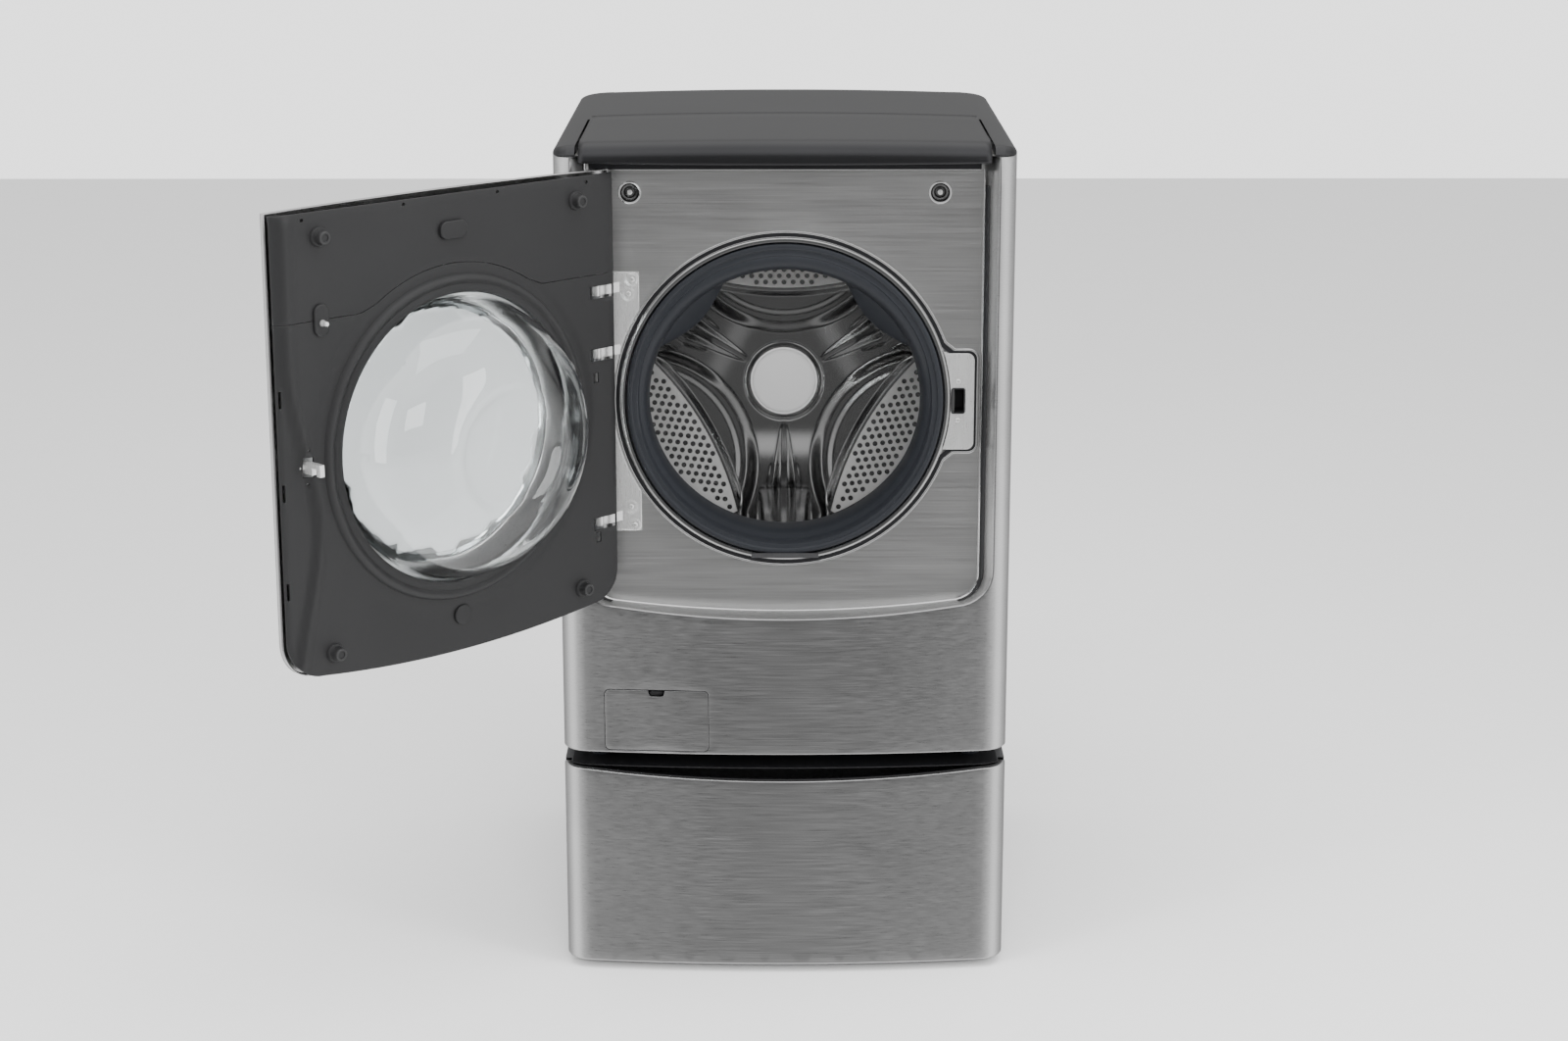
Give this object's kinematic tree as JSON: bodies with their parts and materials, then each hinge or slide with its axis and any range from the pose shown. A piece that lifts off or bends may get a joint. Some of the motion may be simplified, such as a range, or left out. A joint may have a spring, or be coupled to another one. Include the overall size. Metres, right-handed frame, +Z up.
{
  "type": "front load washing machine",
  "caption": "Front load washing machine with a full-height swing door, sliding top lid and suspended tilted drum, standing on a pedestal with a storage drawer.",
  "frame": {"origin": "on the floor at the middle of the four levelling feet", "axes": "+Z up, the loading door faces -Y, +X to the right seen from the front"},
  "size_m": [1.1224, 1.2724, 1.399],
  "materials": {
    "brushed_steel": "brushed",
    "graphite_cover": "satin",
    "painted_sheet": "satin",
    "galvanised": "matte",
    "stainless": "satin",
    "chrome_trim": "polished",
    "drum_steel": "polished",
    "lifter_plastic": "gloss",
    "charcoal_plastic": "matte",
    "black_plastic": "matte",
    "tub_plastic": "matte",
    "tray_plastic": "satin",
    "rubber": "matte",
    "clear_glass": "clear",
    "flap_steel": "brushed",
    "cast_weight": "rough",
    "cast_alloy": "cast",
    "motor_steel": "plain"
  },
  "bodies": {
    "cabinet": {"levelling_feet": "rubber", "foot_lock_nuts": "stainless", "pedestal_cabinet": "painted_sheet", "drawer_rails_fixed": "galvanised", "base_frame": "galvanised", "side_panel_left": "painted_sheet", "side_panel_right": "painted_sheet", "rear_panel": "painted_sheet", "rear_access_cover": "painted_sheet", "front_frame": "brushed_steel", "inner_front_panel": "brushed_steel", "panel_screws": "stainless", "opening_ring": "chrome_trim", "latch_plate": "stainless", "door_lock": "charcoal_plastic", "hinge_plate": "stainless", "hinge_pins": "stainless", "top_cover": "graphite_cover", "dispenser_housing": "tub_plastic", "dispenser_tray": "tray_plastic", "inlet_valves": "tray_plastic", "fill_hoses": "rubber", "control_unit": "black_plastic", "door_gasket": "rubber", "gasket_clamp": "motor_steel", "damper_bodies": "cast_alloy", "suspension_springs": "motor_steel", "sump_hose": "rubber", "tub_inlet_hose": "rubber", "filter_bay": "black_plastic", "drain_pump": "black_plastic", "drain_hose": "rubber"},
    "drawer": {"drawer_front": "brushed_steel", "drawer_box": "galvanised", "drawer_rails_moving": "cast_alloy"},
    "lid": {"sliding_lid": "graphite_cover"},
    "flap": {"filter_flap": "flap_steel"},
    "filter": {"filter_cap": "black_plastic"},
    "tub": {"tub_front": "tub_plastic", "tub_rear": "tub_plastic", "counterweight_upper": "cast_weight", "counterweight_lower": "cast_weight", "main_bearings": "motor_steel", "stator": "motor_steel", "damper_rods": "stainless"},
    "drum": {"drum_shell": "drum_steel", "drum_back": "drum_steel", "drum_cap": "chrome_trim", "drum_spider": "cast_alloy", "drum_lifters": "lifter_plastic", "rotor": "motor_steel"},
    "door": {"door_outer_panel": "brushed_steel", "door_window": "clear_glass", "door_inner_upper": "charcoal_plastic", "door_inner_lower": "charcoal_plastic", "bowl_ring": "chrome_trim", "glass_bowl": "clear_glass", "door_bumpers": "charcoal_plastic", "door_hinge_leaves": "galvanised"},
    "hook": {"door_hook": "stainless"}
  },
  "joints": [
    {"name": "door_swing", "type": "hinge", "parent": "cabinet", "child": "door", "pos_m": [-0.301, -0.4, 0.974], "axis": [0, 0, 1], "range_deg": [0, 135]},
    {"name": "hook_pivot", "type": "hinge", "parent": "door", "child": "hook", "pos_m": [-0.70688, -0.81578, 0.974], "axis": [-0.7071, -0.7071, 0], "range_deg": [0, 10], "stiffness_Nm_per_rad": 0.4, "springref_deg": -8.59},
    {"name": "lid_slide", "type": "slide", "parent": "cabinet", "child": "lid", "axis": [0, 1, 0], "range_m": [0, 0.15]},
    {"name": "drawer_slide", "type": "slide", "parent": "cabinet", "child": "drawer", "axis": [0, -1, 0], "range_m": [0, 0.4]},
    {"name": "flap_hinge", "type": "hinge", "parent": "cabinet", "child": "flap", "pos_m": [-0.212, -0.4193, 0.391], "axis": [1, 0, 0], "range_deg": [0, 90]},
    {"name": "filter_turn", "type": "hinge", "parent": "cabinet", "child": "filter", "pos_m": [-0.212, -0.38, 0.44], "axis": [0, -1, 0], "range_deg": [0, 90]},
    {"name": "tub_suspension", "type": "slide", "parent": "cabinet", "child": "tub", "axis": [0, 0, 1], "range_m": [-0.008, 0.008], "stiffness_N_per_m": 18000, "springref_m": 0.03, "deforming": ["suspension_springs", "door_gasket", "sump_hose", "tub_inlet_hose"]},
    {"name": "drum_spin", "type": "hinge", "parent": "tub", "child": "drum", "pos_m": [0, -0.3, 0.9644], "axis": [0, 0.9893, -0.1461], "continuous": true}
  ]
}
